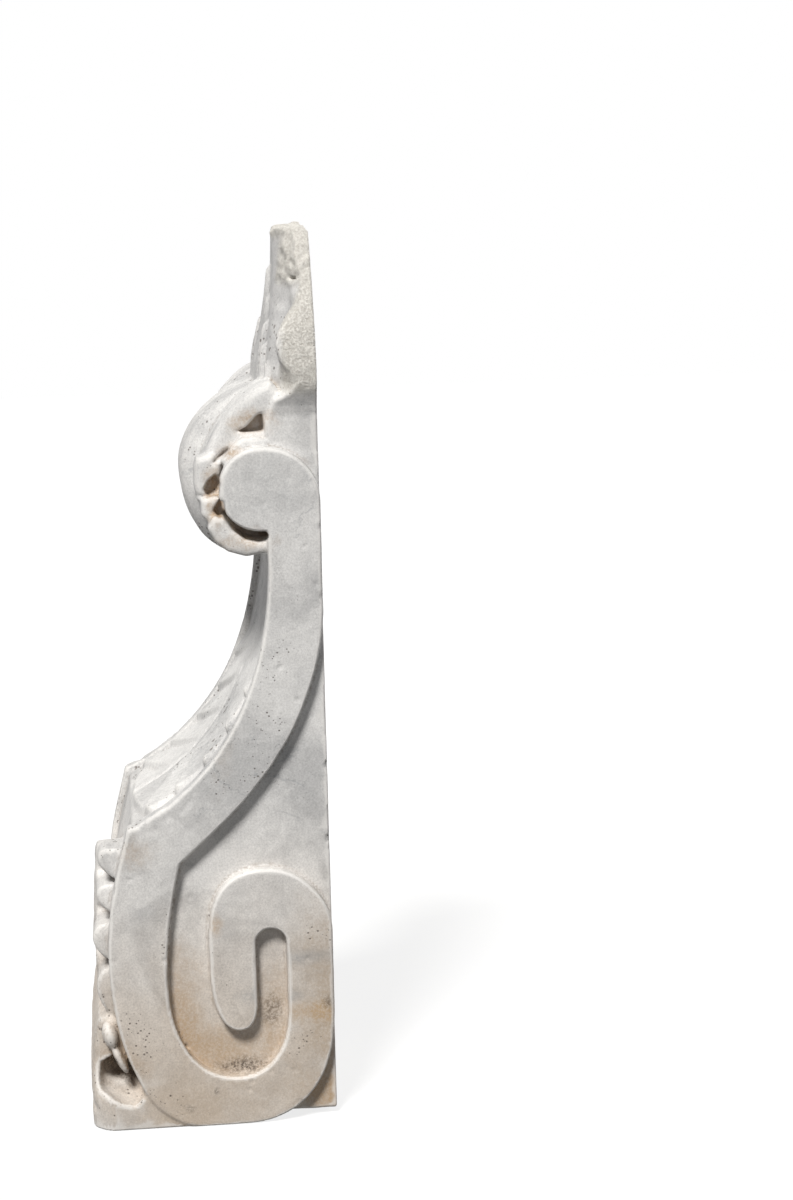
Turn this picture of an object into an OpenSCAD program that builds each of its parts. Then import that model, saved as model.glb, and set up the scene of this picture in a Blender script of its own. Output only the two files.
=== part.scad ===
// Carved stone scroll corbel: one solid, wide end down, as a mason cuts it from one block.
// +Z is up, the front faces -Y and the wall is the plane Y = 0, with the origin in the wall face.
// Outlines are written as [out, up]: the distance out from the wall and the height above the base.

/* [Block] */
// Width across the two side bands
width = 236; // [200:1:290]
// How far the big scroll stands out from the wall
scroll_out = 202; // [186:1:246]
// Height of the front corner, where the hollow front meets the scroll
corner_h = 283; // [235:1:345]
// Height of the upper disc's centre
disc_h = 583; // [500:1:700]
// Height of the broken leaf tip above the disc's centre
tip_rise = 225; // [190:1:290]
// Height of the origin, which is the middle of the wall face
origin_h = 300; // [150:1:450]

/* [Side bands] */
// How far the bands stand proud of the side grounds
relief = 12.5; // [6:0.5:20]
// How far the hollow front lies behind the edges of the bands
front_sink = 6; // [2:0.5:12]
// Depth of the straight neck, from the wall to its front edge
neck_out = 47; // [36:1:60]
// Length of the straight neck below the upper disc
neck_len = 34; // [10:1:60]
// Radius of the upper disc
disc_r = 37; // [28:1:46]
// How far the disc's centre lies out from the wall
disc_out = 52; // [46:1:64]
// Radius of the band's rounded top behind the disc
crown_r = 50; // [40:1:60]
// How far below the disc's centre the band leaves the wall line
leave_drop = 113; // [80:1:160]

/* [Big scroll] */
// Width of the scroll's front limb
front_limb = 52; // [36:1:60]
// Width of the limb along the wall
back_limb = 42; // [30:1:52]
// Thickness of the scroll's foot
foot = 45; // [30:1:60]
// Width of the slot inside the hook
slot_w = 28; // [16:1:36]
// Width of the hook
hook_w = 42; // [30:1:50]
// Height of the hook's end above the foot
hook_clear = 44; // [30:1:60]
// Thickness of the arch over the slot
arch_thick = 56; // [40:1:70]
// How far the front corner lies behind the scroll's front
corner_back = 21; // [10:1:30]
// How far the inner corner lies below the front corner
inner_drop = 35; // [25:1:50]
// How far the inner corner lies behind the front corner
inner_back = 46; // [36:1:60]
// Gap between the arch and the inner corner
arch_gap = 8; // [4:1:20]

/* [Front leaf] */
// Clearance of the front leaf from the inner faces of the bands
leaf_side_gap = 7; // [3:1:15]
// Rise of the leaf above the hollow front
leaf_rise = 9; // [4:1:16]
// How far the leaf on the scroll stands out past the bands
lobe_proud = 12; // [6:1:18]
// Half height of one margin lobe
lobe_r = 14; // [8:1:18]
// Height of the top of the front leaf above the front corner
leaf_top = 120; // [60:1:170]

/* [Top leaf] */
// How far the leaf's widest part lies inside the bands' outer faces
leaf_inset = 3; // [1:0.5:10]
// Half width of the broken tip
tip_half = 52; // [30:1:80]
// Thickness of the broken tip
tip_thick = 30; // [18:1:44]
// Thickness of the leaf where it springs from the curl
root_thick = 56; // [44:1:70]
// Number of flutes on one half of the leaf
flutes = 3; // [2:1:5]
// Depth of the flutes
flute_deep = 6; // [1:0.5:10]
// Radius of the flutes
flute_r = 14; // [6:1:18]
// How far the curl of the leaf stands out from the wall
curl_out = 120; // [106:1:136]
// Height of the curl's top above the disc's centre
curl_rise = 101; // [90:1:110]
// How far the curl hangs below the disc's centre
curl_drop = 72; // [66:1:80]
// Depth of the grooves between the curl's lobes
curl_groove = 8; // [2:1:14]
// Number of lobes across the curl
curl_lobes = 5; // [3:2:9]

/* [Base leaf] */
// How far the curled base leaf stands out past the scroll
base_proud = 23; // [10:1:40]
// Height of the curled base leaf
base_h = 108; // [80:1:130]
// Radius of the hollow under its curled tip
hollow_r = 19; // [8:1:24]
// Length of that hollow, centred near the side
hollow_len = 52; // [20:1:90]

/* [Hidden] */
stone_colour = [0.86, 0.84, 0.81];
merge = 2;                                  // how far joined forms run into each other
curve_steps = 12;
tip_h = disc_h + tip_rise;
leaf_half = width / 2 - leaf_inset;
base_out = scroll_out + base_proud;
ground_half = width / 2 - relief;
channel_left = scroll_out - front_limb;
hook_left = back_limb + slot_w + hook_w;
hook_right = back_limb + slot_w;
corner = [scroll_out - corner_back, corner_h];
inner_corner = corner - [inner_back, inner_drop];
arch_top = inner_corner[1] - arch_gap;
slot_top = arch_top - arch_thick;
hook_end = foot + hook_clear;
neck_foot = [neck_out, disc_h - disc_r - neck_len];
leave_h = disc_h - leave_drop;
crown_h = disc_h + disc_r - crown_r;
leaf_root_h = disc_h - disc_r;
curl_mid = disc_h - 8;
curl_centre = [disc_out, curl_mid];
shoulder_h = disc_h + 107;                  // the leaf is widest here
cove_h = disc_h + 62;                       // and starts to flare here
leaf_bed = -front_sink - merge;             // where the front leaf sinks into the stone

function lerp(a, b, t) = a + (b - a) * t;
function smooth(t) = let (c = min(max(t, 0), 1)) c * c * (3 - 2 * c);
function bezier(a, b, c, d, steps = curve_steps) =
    [for (i = [0:steps]) let (t = i / steps)
        pow(1 - t, 3) * a + 3 * t * pow(1 - t, 2) * b + 3 * t * t * (1 - t) * c + pow(t, 3) * d];
function arc(centre, r, from, to, steps = curve_steps) =
    [for (i = [0:steps]) let (a = lerp(from, to, i / steps)) centre + r * [cos(a), sin(a)]];
function on_scroll(share) = lerp(foot, arch_top, share);
function on_hook(share) = lerp(hook_end, arch_top, share);
// Unit normals of a path, on its left as it runs, averaged over some points to either side
function path_normals(path, reach = 1) =
    [for (i = [0:len(path) - 1])
        let (d = path[min(i + reach, len(path) - 1)] - path[max(i - reach, 0)])
        [-d[1], d[0]] / norm(d)];
function moved(path, by) =
    let (n = path_normals(path)) [for (i = [0:len(path) - 1]) path[i] + n[i] * by];
// The closed outline without the points where two of its curves share an end
function distinct(path) =
    [for (i = [0:len(path) - 1]) if (norm(path[(i + 1) % len(path)] - path[i]) > 0.01) path[i]];

// The hollow front, from the neck down to the corner
function hollow_front() =
    bezier(neck_foot, neck_foot - [-3, 72], [neck_out + 25, corner_h + 47], corner, 16);
// The scroll's front, from the corner down to the foot
function scroll_front() = concat(
    bezier(corner, corner + [8, -33], [scroll_out, on_scroll(0.87)], [scroll_out, on_scroll(0.59)]),
    bezier([scroll_out, on_scroll(0.59)], [scroll_out, on_scroll(0.18)],
           [scroll_out - 27, 0], [scroll_out - 82, 0]));
// The scroll's underside and the limb along the wall, up to the arch and round it to the hook
function scroll_back() = concat(
    bezier([back_limb + 43, 0], [25, 0], [0, foot], [0, on_scroll(0.33)]),
    bezier([0, on_scroll(0.69)], [0, on_scroll(0.82)], [25, arch_top], [back_limb + 18, arch_top]),
    bezier([back_limb + 18, arch_top], [hook_left - 17, arch_top],
           [hook_left, on_hook(0.84)], [hook_left, on_hook(0.54)]));
function hook() = concat(
    bezier([hook_left, on_hook(0.4)], [hook_left, on_hook(0.17)],
           [hook_left - 9, hook_end], [hook_left - 25, hook_end]),
    bezier([hook_left - 25, hook_end], [hook_right + 6, hook_end],
           [hook_right, on_hook(0.06)], [hook_right, on_hook(0.17)]),
    arc([hook_right - slot_w / 2, slot_top - slot_w / 2], slot_w / 2, 0, 180));
function channel() = concat(
    bezier([back_limb, on_scroll(0.33)], [back_limb, foot + 25], [back_limb + 18, foot],
           [back_limb + 47, foot]),
    bezier([back_limb + 47, foot], [channel_left - 20, foot], [channel_left, foot + 40],
           [channel_left, on_scroll(0.49)]),
    bezier([channel_left, on_scroll(0.49)], [channel_left, on_scroll(0.7)],
           inner_corner - [-7, 23], inner_corner));
function band_outline() = concat(
    hollow_front(), scroll_front(), scroll_back(), hook(), channel(),
    bezier(inner_corner, inner_corner + [-60, 52], [10, leave_h - 110], [0, leave_h]),
    arc([crown_r, crown_h], crown_r, 180, 90),
    arc([disc_out, disc_h], disc_r, 80, -97));

// Runs an [out, up] outline across the stone, centred on X = 0
module across(outline, w) {
    rotate([90, 0, 90])
        translate([0, 0, -w / 2])
            linear_extrude(w)
                polygon([for (p = distinct(outline)) [-p[0], p[1]]]);
}

// Closed solid from rows of points. The last two points of a row are its back, and the end rows are
// flat and convex, so that each end closes as a fan from its back corner.
module lofted(rows) {
    m = len(rows[0]);
    n = len(rows);
    points = [for (row = rows) for (p = row) p];
    polyhedron(points, concat(
        [for (i = [0:n - 2]) for (j = [0:m - 1])
            let (k = (j + 1) % m) [i * m + j, i * m + k, (i + 1) * m + k, (i + 1) * m + j]],
        [[for (j = [m - 1:-1:0]) j]],
        [[for (j = [m - 1:2 * m - 2]) (n - 1) * m + j % m]]), convexity = 8);
}

// The whole front edge of the stone, from the neck down to the foot
function front_edge() = distinct(concat(hollow_front(), scroll_front()));

module core() {
    sunk = moved(front_edge(), -front_sink);
    across(concat([[0, crown_h], [sunk[0][0], crown_h]],
                  [for (p = sunk) if (p[1] > foot / 2) p],
                  [[scroll_out - hook_w, 0], [0, 0]]),
           2 * ground_half);
}

module side_band(side) {
    translate([side * (ground_half + (relief - merge) / 2), 0, 0])
        across(band_outline(), relief + merge);
}

// A lobe's height, from 0 to 1, at a distance from its middle
function lobe(gap, r) = max(0, 1 - pow(gap / r, 2));
// The margin lobes on the scroll, closer together towards the corner
lobe_heights = [for (k = [0:4]) corner_h - 33 - 22 * k - 3 * k * k];
function margin_lobes(up) = max([for (h = lobe_heights) lobe(up - h, lobe_r)]);

// Height of the front leaf over the bands' edges, on the hollow front and on the scroll
function leaf_on_front(share, up) =
    let (rise = smooth((corner_h + leaf_top - up) / leaf_top))
    lerp(leaf_bed, (leaf_rise - front_sink) * (1 - 0.6 * pow(share, 4)), rise);
function leaf_on_scroll(share, up) =
    let (body = lobe_proud * (1 - 0.12 * (1 + cos(1080 * share))),
         margin = smooth((share - 0.62) / 0.12),
         fade = smooth((up - base_h + lobe_r) / lobe_r))
    lerp(leaf_bed, lerp(body, lerp(leaf_bed, lobe_proud, margin_lobes(up)), margin), fade);
function leaf_height(share, up) =
    lerp(leaf_on_scroll(share, up), leaf_on_front(share, up), smooth((up - corner_h) / 12 + 0.5));

module front_leaf() {
    half = ground_half - leaf_side_gap;
    columns = 14;
    front = [for (p = hollow_front()) if (p[1] < corner_h + leaf_top && p[1] > corner_h) p];
    scroll = scroll_front();
    below = [for (i = [0:len(scroll) - 2]) for (s = [0, 0.5]) lerp(scroll[i], scroll[i + 1], s)];
    foot_h = base_h - lobe_r;
    path = distinct(concat(front, [for (p = below) if (p[1] < corner_h - 1 && p[1] > foot_h) p]));
    n = path_normals(path, 3);
    lofted([for (i = [0:len(path) - 1])
        let (back = path[i] - [4 * front_sink, 0])
        concat(
            [for (j = [0:columns])
                let (s = 2 * j / columns - 1,
                     ends = i == 0 || i == len(path) - 1,
                     h = ends ? leaf_bed : leaf_height(abs(s), path[i][1]),
                     t = path[i] + n[i] * h)
                [s * half, -t[0], t[1]]],
            [[half, -back[0], back[1]], [-half, -back[0], back[1]]])]);
}

function leaf_half_at(up) =
    up < shoulder_h
        ? lerp(ground_half - merge / 4, leaf_half, smooth((up - cove_h) / (shoulder_h - cove_h)))
        : lerp(leaf_half, tip_half, pow((up - shoulder_h) / (tip_h - shoulder_h), 1.3));
// The leaf's side view: it thins in waves from the curl to the broken tip
function leaf_profile() = concat(
    [[0, tip_h], [tip_thick, tip_h]],
    [for (i = [1:10])
        let (climb = 1 - i / 10, up = lerp(shoulder_h - 15, tip_h - 8, climb))
        [lerp(root_thick, tip_thick + 1, climb) + 2 * sin(900 * climb), up]],
    [[root_thick, leaf_root_h], [0, leaf_root_h]]);

module leaf_front_view() {
    left = [for (i = [0:14]) let (up = lerp(leaf_root_h, tip_h, i / 14)) [leaf_half_at(up), up]];
    polygon(concat(left, [for (i = [14:-1:0]) [-left[i][0], left[i][1]]]));
}

module top_leaf() {
    difference() {
        intersection() {
            across(leaf_profile(), 2 * leaf_half + merge);
            rotate([90, 0, 0])
                linear_extrude(root_thick + 2 * merge)
                    leaf_front_view();
        }
        for (side = [-1, 1])
            for (k = [1:flutes])
                flute(side * lerp(8, leaf_half - flute_r, (k - 0.5) / flutes));
    }
}

// One long flute up the front of the leaf, leaning with its face
module flute(x) {
    lean = atan((root_thick - tip_thick) / (tip_h - shoulder_h));
    translate([x, -(root_thick + flute_r - flute_deep), shoulder_h - 15])
        rotate([-lean, 0, 0])
            cylinder(h = tip_h, r = flute_r, $fn = 32);
}

// The rolled-over part of the leaf, in front of the upper disc: fuller in the middle of the stone
function curl_outline(fullness) =
    let (lean = 1 - fullness,
         top = disc_h + curl_rise - 17 * lean,
         out = curl_out - 13 * lean,
         low = disc_h - curl_drop + 13 * lean)
    concat(bezier([disc_out - 14, top], [disc_out + 28, top], [out, curl_mid + 50], [out, curl_mid + 15]),
           bezier([out, curl_mid + 8], [out, curl_mid - 32], [disc_out + 34, low], [disc_out + 4, low]),
           [[disc_out - 30, disc_h - 50], [disc_out - 30, disc_h + 70]]);

// Each lobe is a pair of nested slices: its crown, and its shoulders in the grooves beside it
module curl() {
    half = ground_half - 1;
    lobe_w = 2 * half / curl_lobes;
    for (k = [0:curl_lobes - 1]) {
        x = (k + 0.5) * lobe_w - half;
        crown = curl_outline(sqrt(1 - pow(x / ground_half, 2)));
        shoulder = [for (p = crown) curl_centre + (p - curl_centre) * (1 - curl_groove / curl_out)];
        translate([x, 0, 0])
            across(shoulder, lobe_w + merge / 4);
        translate([x, 0, 0])
            across(crown, lobe_w * 0.72);
    }
}

// The leaf end rolled under the foot of the scroll
module base_leaf() {
    side_out = base_out - 36;
    difference() {
        intersection() {
            across(concat([[back_limb, 0], [base_out - 2, 0], [base_out, 30]],
                          bezier([base_out - 3, 62], [base_out - 6, base_h - 10],
                                 [base_out - 18, base_h], [base_out - 30, base_h]),
                          [[back_limb, base_h]]),
                   width);
            linear_extrude(base_h + merge)
                polygon(distinct([for (side = [-1, 1])
                    for (p = side < 0 ? plan_edge(side_out) : reversed(plan_edge(side_out)))
                        [side * p[0], -p[1]]]));
        }
        for (side = [-1, 1])
            translate([side * (width / 2 + 4), hollow_r - base_out + 3, base_h / 2 - 1])
                rotate([0, 90, 0])
                    cylinder(h = hollow_len, r = hollow_r, center = true, $fn = 48);
    }
}
function plan_edge(side_out) = concat(
    [[0, base_out]],
    bezier([width / 2 - 34, base_out - 2], [width / 2 - 20, base_out - 6],
           [width / 2 - 1, base_out - 22], [width / 2 - 1, side_out]),
    [[ground_half, channel_left], [ground_half, back_limb], [0, back_limb]]);
function reversed(list) = [for (i = [len(list) - 1:-1:0]) list[i]];

module corbel() {
    color(stone_colour)
        translate([0, 0, -origin_h])
            union() {
                core();
                side_band(-1);
                side_band(1);
                front_leaf();
                top_leaf();
                curl();
                base_leaf();
            }
}

corbel();
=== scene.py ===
"""Looks of the carved marble corbel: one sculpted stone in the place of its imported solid.

The stone is worked out in its own block units, millimetres: across from the middle, out from the
wall and up from the base. It is carved as a distance field, meshed, and set into the frame in metres.
"""
import math

import bmesh
import bpy
import numpy as np
import openvdb
from mathutils import Matrix, Vector


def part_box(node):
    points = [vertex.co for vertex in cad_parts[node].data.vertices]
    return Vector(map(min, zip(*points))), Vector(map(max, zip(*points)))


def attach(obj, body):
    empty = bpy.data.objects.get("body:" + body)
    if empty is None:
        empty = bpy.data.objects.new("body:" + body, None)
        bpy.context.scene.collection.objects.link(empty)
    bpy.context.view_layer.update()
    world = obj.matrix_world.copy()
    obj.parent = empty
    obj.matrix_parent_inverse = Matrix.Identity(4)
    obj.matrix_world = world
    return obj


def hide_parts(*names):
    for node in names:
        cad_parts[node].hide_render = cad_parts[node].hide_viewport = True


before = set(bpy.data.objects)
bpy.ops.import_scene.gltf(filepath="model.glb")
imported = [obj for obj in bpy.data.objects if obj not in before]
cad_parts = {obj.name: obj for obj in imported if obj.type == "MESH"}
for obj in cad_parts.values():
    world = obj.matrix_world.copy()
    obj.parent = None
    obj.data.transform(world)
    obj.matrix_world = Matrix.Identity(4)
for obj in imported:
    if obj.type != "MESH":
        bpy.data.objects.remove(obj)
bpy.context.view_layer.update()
low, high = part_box("corbel")

# ---------------------------------------------------------------- sizes of the block, millimetres
MM = 1000.0
WIDTH, DEPTH, HEIGHT = [(high[i] - low[i]) * MM for i in range(3)]
STEP = 1.5                      # distance between carving points
RELIEF = 12.5                   # the bands stand this far proud of the side grounds
HALF = WIDTH / 2
GROUND = HALF - RELIEF
SCROLL_OUT = DEPTH - 23
CORNER = (SCROLL_OUT - 21, HEIGHT - 525)
DISC = (52.0, HEIGHT - 225)
DISC_R = 37.0
NECK = (47.0, DISC[1] - 71)
INNER = (CORNER[0] - 46, CORNER[1] - 35)
ARCH_TOP = INNER[1] - 8
FOOT = 45.0
SINK = 6.0                      # the hollow front lies this far behind the bands
LEAD_IN = 128                   # straight run of the front edge above the neck
MOST_TRIANGLES = 190000         # of the whole stone's mesh
SEED = 7

# Knobs on the margin of the scroll's leaf: start and end down the front, and rise
MARGIN_KNOBS = ((22, 52, 25), (56, 84, 20), (92, 129, 20), (134, 187, 19), (190, 250, 16))
# Small holes drilled between the leaflets of the hollow front: out, up
LEAFLET_HOLES = ((99, 336), (103, 330), (126, 303), (150, 287))
# The upright leaf's middle and margin by height (up, out), and its half width (up, across)
TOP_MIDDLE = ((583, 48), (640, 48), (686, 44), (719, 36.5), (745, 33), (771, 30), (808, 29))
TOP_MARGIN = ((583, 48), (640, 46), (660, 38), (668, 24), (674, 22), (684, 26), (694, 32), (708, 35.5),
              (718, 33), (726, 28), (740, 15), (757, 12.5), (808, 17))
TOP_FLANK = ((583, GROUND), (636, GROUND - 0.5), (646, 105), (655, 107.2), (663, 110.8), (670, 114),
             (675, 115), (690, 115), (700, 113.5), (720, 108), (757, 90), (790, 70), (808, 56))
# Its strands: middle across, half width, height of the tip, how far it stands proud
STRANDS = ((0, 9.5, 773, 4.5), (18, 9, 748, 4.0), (36, 9, 726, 5.5), (54, 9, 708, 5.5), (71, 8, 694, 4.0))
# Grooves of the curl: place across, depth, half width
CURL_GROOVES = ((9.5, 2.2, 2.0), (27, 3.4, 3.0), (45, 3.0, 2.4), (63, 3.4, 2.4), (78, 1.6, 2.0))
# Folds down the curl's side: centre, radii, turn
CURL_FOLDS = (((98, 92, 640), (7, 2.6, 24), 30), ((101, 76, 655), (6, 2.2, 18), 48))
# Lobes round the disc: outline with up counted from the disc's middle, inner end, outer end, rounding
CURL_LOBES = (
    (((88, 26), (80, 35), (66, 44.5), (53, 45.5), (44, 41), (44, 28), (78, 14)), 70, 108.5, 6.0),
    (((109, 20), (107, 28), (95, 31), (84, 27), (84, 12), (96, -8), (107, -12), (110, 4)), 74, 100, 8.0),
    (((104, -9), (94, -5), (85, -9), (85, -25), (96, -32), (104, -23)), 76, 104, 6.0),
    (((99, -34), (93, -46), (82, -55), (66, -60), (44, -57), (44, -44), (54, -47), (67, -44),
      (78, -35), (87, -21), (95, -24)), 66, 111.5, 6.0))
# Drilled eyes and dark hollows between the lobes: the same outline, depth of the floor, rounding, blend
CURL_HOLLOWS = (
    (((73, 48.5), (62, 53), (53, 63), (47.5, 66), (46.5, 49), (58, 48.5)), 87, 5.0, 1.6),
    (((90, 12), (87, 6), (89, -4), (97, -7), (101, -1), (97, 7)), 86, 8.0, 2.5),
    (((89, -11), (84.5, -8), (83, -20), (88, -26), (94, -19)), 90, 6.0, 2.0),
    (((86, -22), (77, -36), (66, -44), (54, -46), (NECK[0] - 1, -44), (NECK[0] - 1, -39), (62, -38),
      (74, -32), (84, -20)), 86, 3.0, 1.0))
# Side outline of the base leaf, with out counted from the block's face, and of the hollow in it
BASE_LEAF = ((-3, -6), (-1.5, 16), (-4, 22), (-1.2, 34), (-2, 56), (-4.5, 62), (-3.5, 70), (-7, 88),
             (-11, 101), (-20, 107), (-30, 101), (-36, 70))
BASE_HOLLOW = ((222, 56), (210, 63), (194, 77), (176, 74), (168, 38), (184, 19), (204, 30), (219, 42))
# Chips off the back edges, the front arris and the base corner: centre, radii
CHIPS = (((HALF, 0, 486), (2.6, 3, 4)), ((HALF, 0, 548), (2, 2.5, 3)), ((GROUND, 0, 262), (3, 3.5, 5)),
         ((GROUND, 0, 330), (2.5, 3, 4)), ((HALF, 121, 333), (3, 3, 4)), ((HALF, 148, 305), (3.5, 4, 3)),
         ((HALF - 4, 196, 228), (4, 2.5, 5)), ((HALF, 201, 120), (3, 2, 4)))
PITS = 170                      # small pits scattered over the flanks

# ---------------------------------------------------------------- colours of the marble
PALE = (0.785, 0.775, 0.76, 1)
CLOUD = (0.56, 0.555, 0.55, 1)
VEIN = (0.36, 0.37, 0.38, 1)
WARM = (0.60, 0.495, 0.39, 1)
# Brown dirt with painted shade, laid where the surface lies in a near hollow
GRIME_AND_SHADE = (0.21, 0.155, 0.105, 1)
# Brown dirt with painted shade, laid where the surface lies deep in a wide hollow
DEEP_GRIME_AND_SHADE = (0.26, 0.18, 0.11, 1)
# Worn edges, lighter: wear, and a painted highlight on the arrises
WORN_AND_HIGHLIGHT = (0.88, 0.86, 0.83, 1)
SPECK = (0.10, 0.08, 0.065, 1)
BROKEN = (0.86, 0.83, 0.76, 1)
CRUMB = (0.34, 0.28, 0.21, 1)
TAN = (0.46, 0.32, 0.19, 1)
RUST = (0.50, 0.31, 0.13, 1)
DUST = (0.44, 0.345, 0.25, 1)
LEAD = (0.33, 0.34, 0.35, 1)
# Soot in small spots, and painted shade under the curl and in the base hollow
SOOT_AND_SHADE = (0.07, 0.055, 0.045, 1)

# Stain patches and patches of painted shade: centre and radii in block millimetres, tone, strength,
# raggedness' scale
PATCH_GROWTH = 1.35
STAIN_AND_SHADE_PATCHES = (
    ((HALF, 10, 120), (14, 36, 90), DUST, 0.75, 20),
    ((HALF, 105, 20), (14, 110, 34), DUST, 0.5, 20),
    ((HALF, 52, 583), (10, 42, 42), LEAD, 0.30, 30),
    ((GROUND, 4, 18), (12, 30, 44), TAN, 0.9, 30),
    ((GROUND, 140, 100), (11, 22, 62), TAN, 0.75, 25),
    ((GROUND, 105, 62), (11, 52, 30), TAN, 0.7, 30),
    ((GROUND, 56, 100), (11, 20, 50), TAN, 0.55, 40),
    ((GROUND, 84, 52), (11, 26, 9), SOOT_AND_SHADE, 0.9, 160),
    ((GROUND, 57, 104), (11, 10, 16), SOOT_AND_SHADE, 0.7, 170),
    ((GROUND, 22, 24), (11, 22, 26), TAN, 0.6, 40),
    ((HALF, 108, 190), (9, 8, 12), RUST, 0.5, 60),
    ((HALF, 16, 103), (9, 26, 12), RUST, 0.5, 60),
    ((HALF, 6, 112), (9, 5, 8), SOOT_AND_SHADE, 0.6, 120),
    ((HALF, 26, 156), (9, 30, 8), LEAD, 0.5, 45),
    ((HALF, 72, 122), (9, 18, 8), LEAD, 0.45, 60),
    ((HALF, 38, 120), (9, 14, 6), LEAD, 0.4, 60),
    ((HALF, 178, 262), (14, 22, 14), TAN, 0.35, 90),
    ((HALF, 96, 395), (8, 14, 70), TAN, 0.22, 90),
    ((HALF, 135, 19), (8, 5, 4), SOOT_AND_SHADE, 0.7, 120),
    ((HALF, 110, 33), (8, 3, 4), SOOT_AND_SHADE, 0.7, 120),
    ((100, 93, 582), (22, 9, 20), TAN, 1.0, 50),
    ((104, 58, 640), (20, 20, 12), TAN, 0.8, 60),
    ((104, 80, 617), (14, 14, 7), TAN, 0.9, 60),
    ((100, 70, 538), (24, 30, 12), TAN, 0.85, 60),
    ((98, 90, 560), (22, 10, 12), TAN, 1.0, 50),
    # Painted shade on the hollow front under the curl, where the curl's shadow falls
    ((50, 50, 505), (70, 22, 46), SOOT_AND_SHADE, 0.45, 30),
    # Tan dirt in the base hollow, and painted shadow under its roof
    ((92, 190, 60), (40, 26, 22), TAN, 0.95, 50),
    ((84, 190, 56), (34, 26, 22), SOOT_AND_SHADE, 1.0, 50),
    ((70, 19, 786), (22, 10, 12), LEAD, 0.5, 80))


# ---------------------------------------------------------------- curves and distances
def bezier(a, b, c, d, steps=24):
    """Points along a curve from a to d that sets off towards b and comes in from c."""
    t = np.linspace(0, 1, steps + 1)[:, None]
    a, b, c, d = (np.asarray(p, float) for p in (a, b, c, d))
    return (1 - t) ** 3 * a + 3 * t * (1 - t) ** 2 * b + 3 * t * t * (1 - t) * c + t ** 3 * d


def arc(centre, radius, start, end, steps=24):
    """Points round part of a circle, between two angles in degrees."""
    t = np.radians(np.linspace(start, end, steps + 1))
    return np.stack([centre[0] + radius * np.cos(t), centre[1] + radius * np.sin(t)], 1)


def smooth(t):
    """Eases from 0 to 1 as t does."""
    t = np.clip(t, 0, 1)
    return t * t * (3 - 2 * t)


def soft_min(a, b, r):
    """The smaller of two fields, rounded over r: joins two bodies with a fillet."""
    h = np.clip(0.5 + 0.5 * (b - a) / r, 0, 1)
    return b + (a - b) * h - r * h * (1 - h)


def soft_max(a, b, r):
    """The larger of two fields, rounded over r: keeps what two bodies share."""
    return -soft_min(-a, -b, r)


def along(path, u, v):
    """Length along a path to the point nearest each (u, v), and the distance off it, left positive."""
    best = np.full(np.broadcast(u, v).shape, 1e9, np.float32)
    length = np.zeros_like(best)
    side = np.zeros_like(best)
    run = 0.0
    for a, b in zip(path[:-1], path[1:]):
        d = b - a
        size = float(np.hypot(*d))
        if size < 1e-6:
            continue
        t = np.clip(((u - a[0]) * d[0] + (v - a[1]) * d[1]) / size ** 2, 0, 1)
        gap = np.hypot(u - a[0] - t * d[0], v - a[1] - t * d[1])
        near = gap < best
        cross = d[0] * (v - a[1]) - d[1] * (u - a[0])
        best = np.where(near, gap, best)
        side = np.where(near, np.sign(cross), side)
        length = np.where(near, run + t * size, length)
        run += size
    return length.astype(np.float32), (best * side).astype(np.float32)


def outline(points, u, v):
    """Signed distance to a closed outline, negative inside."""
    ring = np.vstack([points, points[:1]])
    best = np.full(np.broadcast(u, v).shape, 1e9)
    inside = np.zeros(best.shape, bool)
    for a, b in zip(ring[:-1], ring[1:]):
        d = b - a
        size = float(d @ d)
        if size < 1e-9:
            continue
        t = np.clip(((u - a[0]) * d[0] + (v - a[1]) * d[1]) / size, 0, 1)
        best = np.minimum(best, np.hypot(u - a[0] - t * d[0], v - a[1] - t * d[1]))
        if abs(d[1]) > 1e-9:
            crosses = (v >= min(a[1], b[1])) & (v < max(a[1], b[1]))
            inside ^= crosses & (u < a[0] + (v - a[1]) * d[0] / d[1])
    return np.where(inside, -best, best).astype(np.float32)


# ---------------------------------------------------------------- the stone's outlines, [out, up]
def lerp(a, b, t):
    """The value a share t of the way from a to b."""
    return a + (b - a) * t


def on_scroll(share):
    """A height on the big scroll, as a share of the way from its foot to the top of its arch."""
    return lerp(FOOT, ARCH_TOP, share)


def on_hook(share):
    """A height on the hook that hangs inside the scroll, as a share of its own length."""
    return lerp(FOOT + 44, ARCH_TOP, share)


def hollow_front():
    """The hollow front edge, from the neck down to the corner."""
    return bezier(NECK, (NECK[0] + 3, NECK[1] - 72), (NECK[0] + 25, CORNER[1] + 47), CORNER)


def scroll_front():
    """The scroll's front edge, from the corner down to the base."""
    belly = (SCROLL_OUT, on_scroll(0.59))
    return np.vstack([
        bezier(CORNER, (CORNER[0] + 8, CORNER[1] - 33), (SCROLL_OUT, on_scroll(0.87)), belly),
        bezier(belly, (SCROLL_OUT, on_scroll(0.18)), (SCROLL_OUT - 27, 0), (SCROLL_OUT - 82, 0))])


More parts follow.
